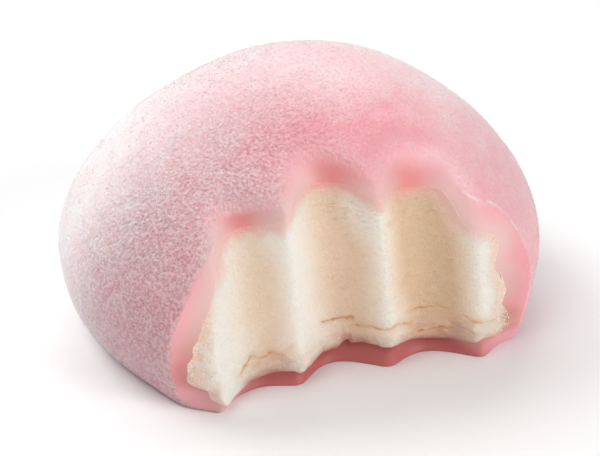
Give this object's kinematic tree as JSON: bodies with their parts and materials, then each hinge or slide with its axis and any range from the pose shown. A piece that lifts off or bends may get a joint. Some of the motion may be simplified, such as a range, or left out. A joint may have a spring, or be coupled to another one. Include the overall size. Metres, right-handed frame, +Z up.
{
  "type": "bitten mochi ice cream",
  "caption": "Round, flat-bottomed sweet with a soft rice-dough skin round an ice cream filling, with one bite taken that shows both.",
  "frame": {"origin": "centre of the flat base of the whole ball, before the bite", "axes": "+Z up, the bite faces -Y, +X to the right of someone who looks at the bite"},
  "size_m": [0.0482, 0.0409, 0.0277],
  "materials": {
    "mochi_skin": "soft rice dough, dusted with starch, bare and satin along the bite",
    "ice_cream": "dense frozen cream, matte, faintly crumbly at its edges"
  },
  "bodies": {
    "root": {"mochi_skin": "mochi_skin", "ice_cream": "ice_cream"}
  },
  "joints": []
}
